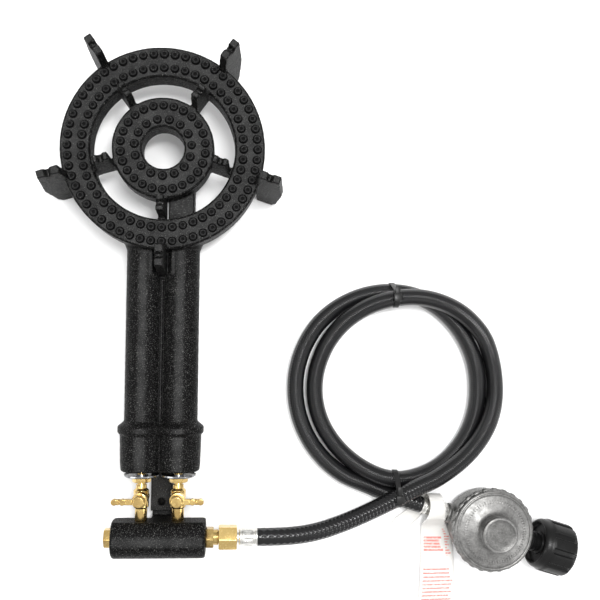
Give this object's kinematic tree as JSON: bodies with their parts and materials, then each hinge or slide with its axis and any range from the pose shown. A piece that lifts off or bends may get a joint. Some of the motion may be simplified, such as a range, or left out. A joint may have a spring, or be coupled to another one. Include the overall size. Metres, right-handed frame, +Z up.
{
  "type": "propane burner stand",
  "caption": "Ring-headed cast-iron gas burner on finned feet, with lever cocks, air shutters and a manifold, a tied rubber hose, and a regulator with a grip nut for a gas cylinder.",
  "frame": {"origin": "on the floor, under the middle of the burner's own bounding box (the hose, regulator and tag left out)", "axes": "+Z up, +Y from the manifold towards the ring head, +X towards the side the hose leaves"},
  "size_m": [0.4821, 0.523, 0.084],
  "materials": {
    "black_cast_iron": "black textured coating over a rough casting",
    "chromed_steel": "polished",
    "hose_rubber": "smooth black rubber with a faint braid",
    "tie_nylon": "satin",
    "die_cast_zinc": "tumbled die casting",
    "nut_plastic": "satin moulded",
    "seal_rubber": "matte",
    "tag_sheet": "thin spunbonded sheet",
    "plated_steel": "crimped and plated",
    "brass": "machined"
  },
  "bodies": {
    "root": {"bottom_cable_tie": "tie_nylon", "diaphragm": "seal_rubber", "diaphragm_plate": "plated_steel", "hose_coil": "hose_rubber", "hose_lead_in": "hose_rubber", "hose_lead_out": "hose_rubber", "hose_stem": "plated_steel", "inlet_adapter": "brass", "inlet_ferrule": "plated_steel", "inlet_nipple": "brass", "inner_ring": "black_cast_iron", "left_cock_body": "brass", "left_gas_jet": "brass", "left_mixing_tube": "black_cast_iron", "manifold": "black_cast_iron", "manifold_bolt": "plated_steel", "manifold_end_plug": "brass", "nipple_seal": "seal_rubber", "outer_pot_supports": "black_cast_iron", "outer_ring": "black_cast_iron", "outlet_ferrule": "plated_steel", "outlet_fitting": "plated_steel", "rear_foot": "black_cast_iron", "regulator_case": "die_cast_zinc", "regulator_cover": "die_cast_zinc", "regulator_spring": "plated_steel", "right_cock_body": "brass", "right_gas_jet": "brass", "right_mixing_tube": "black_cast_iron", "spoke_pot_supports": "black_cast_iron", "spring_adjuster": "plated_steel", "top_cable_tie": "tie_nylon", "valve_lever": "plated_steel", "vent_cap": "die_cast_zinc", "warning_tag": "tag_sheet"},
    "left_lever": {"left_cock_lever": "brass", "left_cock_key": "brass", "left_key_nut": "brass"},
    "right_lever": {"right_cock_lever": "brass", "right_cock_key": "brass", "right_key_nut": "brass"},
    "left_shutter_carrier": {"left_lock_nut": "brass"},
    "left_shutter": {"left_air_shutter": "chromed_steel"},
    "right_shutter_carrier": {"right_lock_nut": "brass"},
    "right_shutter": {"right_air_shutter": "chromed_steel"},
    "hose_nut_body": {"hose_nut": "brass"},
    "hand_nut_body": {"hand_nut": "nut_plastic"}
  },
  "joints": [
    {"name": "left_lever_turn", "type": "hinge", "parent": "root", "child": "left_lever", "pos_m": [-0.016, -0.171, 0.053], "axis": [0, 0, 1], "range_deg": [0, 90]},
    {"name": "right_lever_turn", "type": "hinge", "parent": "root", "child": "right_lever", "pos_m": [0.016, -0.171, 0.053], "axis": [0, 0, -1], "range_deg": [0, 90]},
    {"name": "left_shutter_slide", "type": "slide", "parent": "root", "child": "left_shutter_carrier", "axis": [0, 1, 0], "range_m": [-0.00181, 0.00291]},
    {"name": "left_shutter_turn", "type": "hinge", "parent": "left_shutter_carrier", "child": "left_shutter", "pos_m": [-0.016, -0.1526, 0.038], "axis": [0, 1, 0], "range_deg": [-648, 1044]},
    {"name": "right_shutter_slide", "type": "slide", "parent": "root", "child": "right_shutter_carrier", "axis": [0, 1, 0], "range_m": [-0.00181, 0.00291]},
    {"name": "right_shutter_turn", "type": "hinge", "parent": "right_shutter_carrier", "child": "right_shutter", "pos_m": [0.016, -0.1526, 0.038], "axis": [0, 1, 0], "range_deg": [-648, 1044]},
    {"name": "hose_nut_turn", "type": "hinge", "parent": "root", "child": "hose_nut_body", "pos_m": [0.06, -0.2055, 0.038], "axis": [1, 0, 0], "continuous": true},
    {"name": "hand_nut_turn", "type": "hinge", "parent": "root", "child": "hand_nut_body", "pos_m": [0.35538, -0.21904, 0.0245], "axis": [0.9563, -0.2924, 0], "continuous": true}
  ],
  "couplings": [
    {"joint": "left_shutter_slide", "follows": "left_shutter_turn", "m_per_rad": 0.00015915},
    {"joint": "right_shutter_slide", "follows": "right_shutter_turn", "m_per_rad": 0.00015915}
  ]
}
